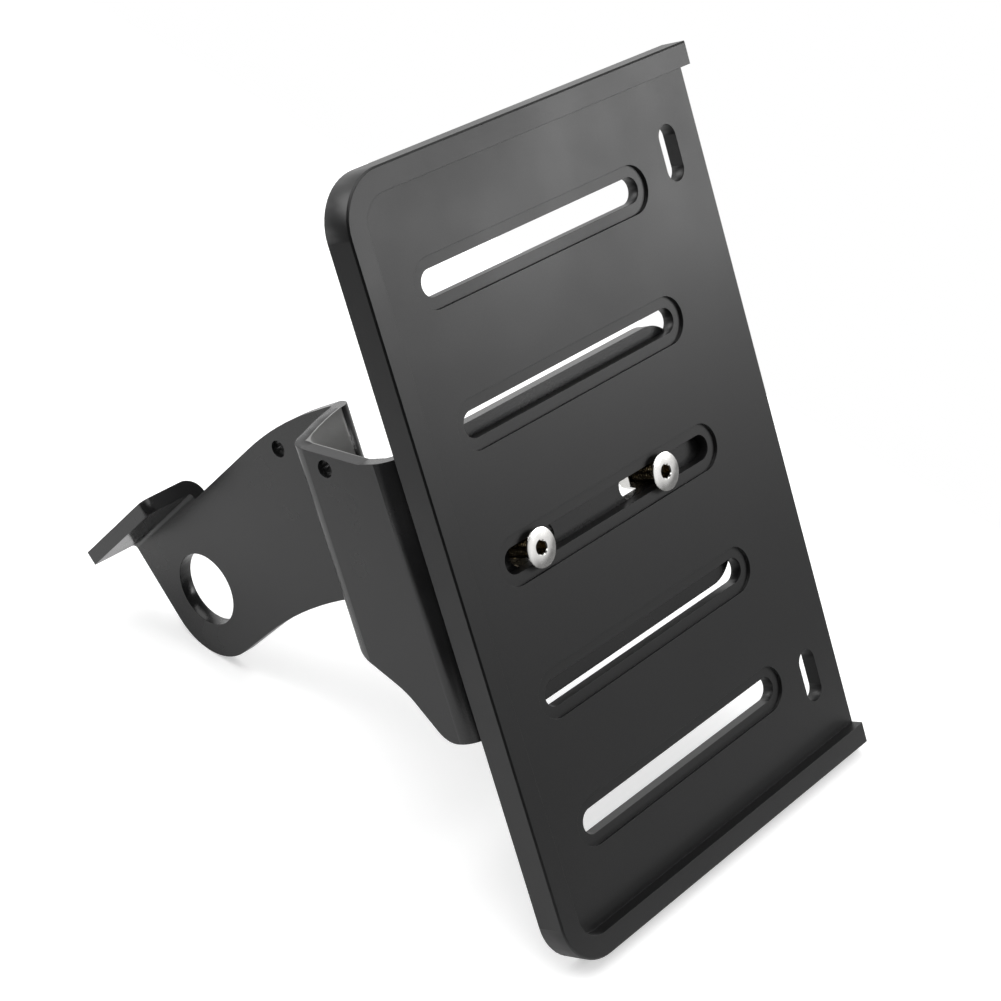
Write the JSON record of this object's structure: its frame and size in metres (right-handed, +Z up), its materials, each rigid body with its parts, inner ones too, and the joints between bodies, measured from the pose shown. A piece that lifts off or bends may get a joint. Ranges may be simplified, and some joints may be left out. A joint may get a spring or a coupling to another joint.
{
  "type": "side mount license plate holder",
  "caption": "Milled license plate tray with stepped slots, clamped by countersunk screws to a folded bracket that hangs on a wheel axle.",
  "frame": {"origin": "centre of the axle bore, at half the bracket sheet's thickness", "axes": "+X along the wheel axle towards the open side of the plate tray, -Y out of the plate tray's face towards its viewer, +Z up"},
  "size_m": [0.1557, 0.1728, 0.238],
  "materials": {
    "plate": "satin black, milled",
    "bracket": "satin black coating",
    "fastener": "bright zinc",
    "nylon": "natural nylon"
  },
  "bodies": {
    "bracket": {"bracket": "bracket", "screw_left": "fastener", "screw_right": "fastener", "nut_left": "fastener", "nut_right": "fastener", "nut_ring_left": "nylon", "nut_ring_right": "nylon"},
    "tray": {"holder_plate": "plate"}
  },
  "joints": [
    {"name": "tray_slide", "type": "slide", "parent": "bracket", "child": "tray", "axis": [1, 0, 0], "range_m": [-0.0195, 0.009]}
  ]
}
